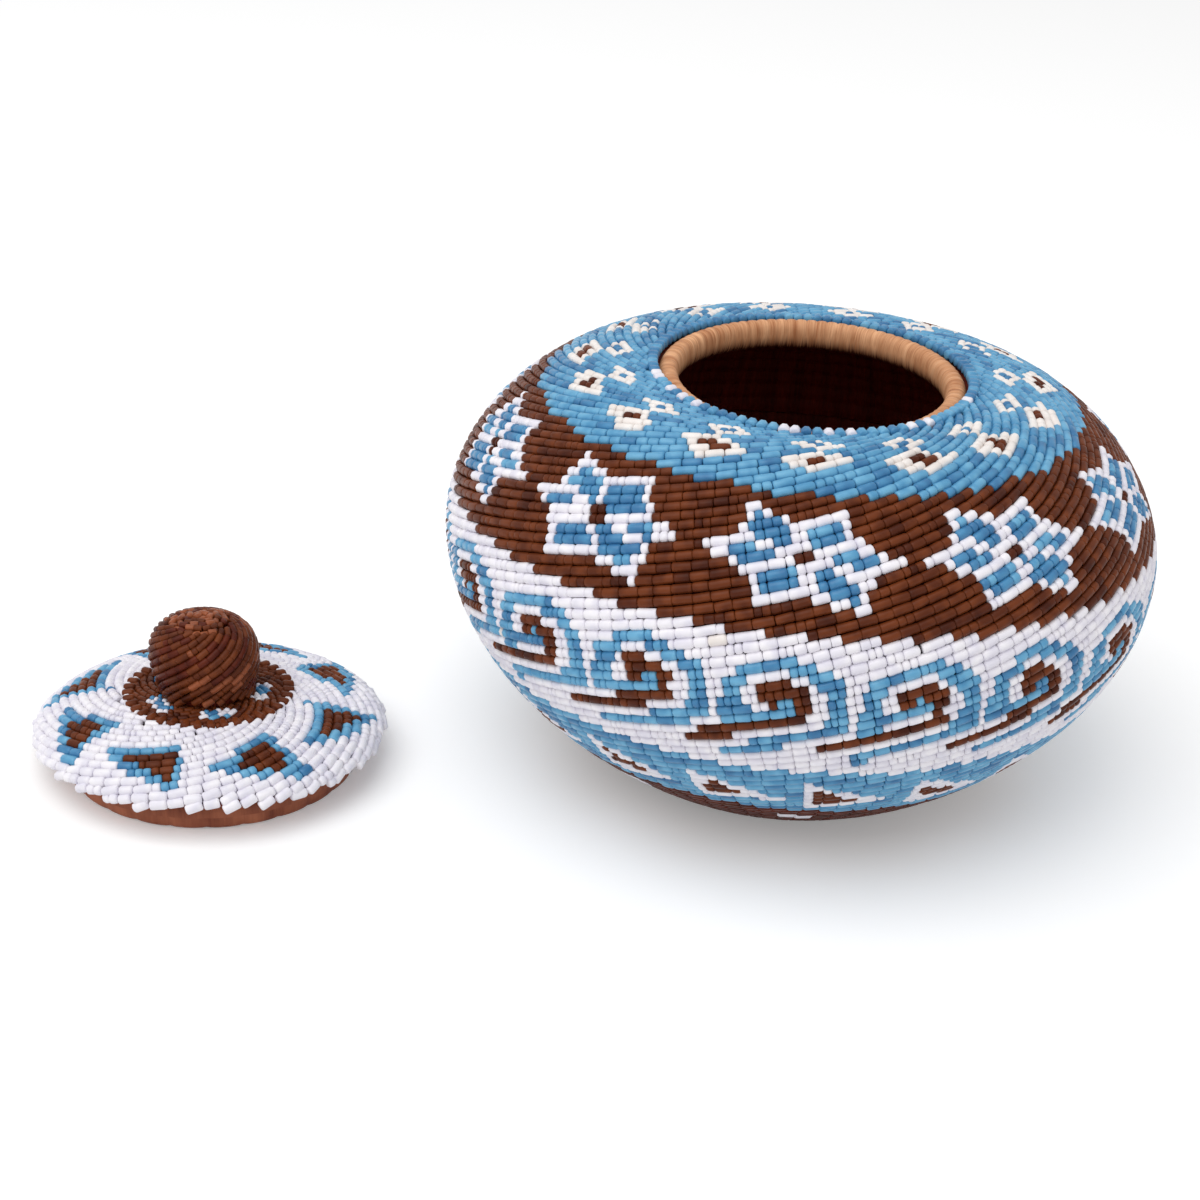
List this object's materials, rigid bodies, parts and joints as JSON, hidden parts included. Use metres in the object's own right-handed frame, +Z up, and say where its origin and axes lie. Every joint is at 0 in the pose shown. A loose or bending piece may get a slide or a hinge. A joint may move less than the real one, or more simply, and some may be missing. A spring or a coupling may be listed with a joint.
{
  "type": "lidded beaded basket",
  "caption": "Squat round lidded basket: coiled willow under a netting of glass seed beads with stars and frets; the knobbed lid lies beside it and lifts.",
  "frame": {"origin": "centre of the pot's flat foot, on the surface that it stands on", "axes": "+Z up the pot's axis; -Y is the front that the picture shows; the lid lies on the -X side"},
  "size_m": [0.1853, 0.12, 0.071],
  "materials": {
    "beads_blue": "glossy sky-blue opaque glass seed beads",
    "beads_white": "glossy white opaque glass seed beads",
    "beads_brown": "glossy brown glass seed beads",
    "beads_dark_brown": "glossy dark reddish-brown glass seed beads",
    "willow_tan": "tan split willow, wrapped round a rod",
    "willow_dark": "dark brown wrapped willow coils",
    "willow_red": "reddish-brown wrapped willow coil"
  },
  "bodies": {
    "pot": {"foot_net": "beads_dark_brown", "lower_band_net": "beads_blue", "fret_band_net": "beads_white", "star_band_net": "beads_brown", "shoulder_net": "beads_blue", "floor_coil": "willow_dark", "lower_wall_coils": "willow_dark", "upper_wall_coils": "willow_dark", "rim_coil": "willow_tan", "star_01": "beads_white", "star_02": "beads_white", "star_03": "beads_white", "star_04": "beads_white", "star_05": "beads_white", "star_06": "beads_white", "star_07": "beads_white", "star_08": "beads_white", "star_09": "beads_white", "star_10": "beads_white"},
    "lid": {"lid_disc_coils": "willow_dark", "lid_flange_coil": "willow_red", "lid_net": "beads_white", "collar_net": "beads_brown", "knob_core": "willow_dark", "knob_net": "beads_dark_brown", "lid_triangle_01": "beads_blue", "lid_triangle_02": "beads_blue", "lid_triangle_03": "beads_blue", "lid_triangle_04": "beads_blue", "lid_triangle_05": "beads_blue", "lid_triangle_06": "beads_blue", "lid_triangle_07": "beads_blue", "lid_triangle_08": "beads_blue"}
  },
  "joints": [
    {"name": "lid_lift", "type": "slide", "parent": "pot", "child": "lid", "axis": [0, 0, 1], "range_m": [0, 0.09]}
  ]
}
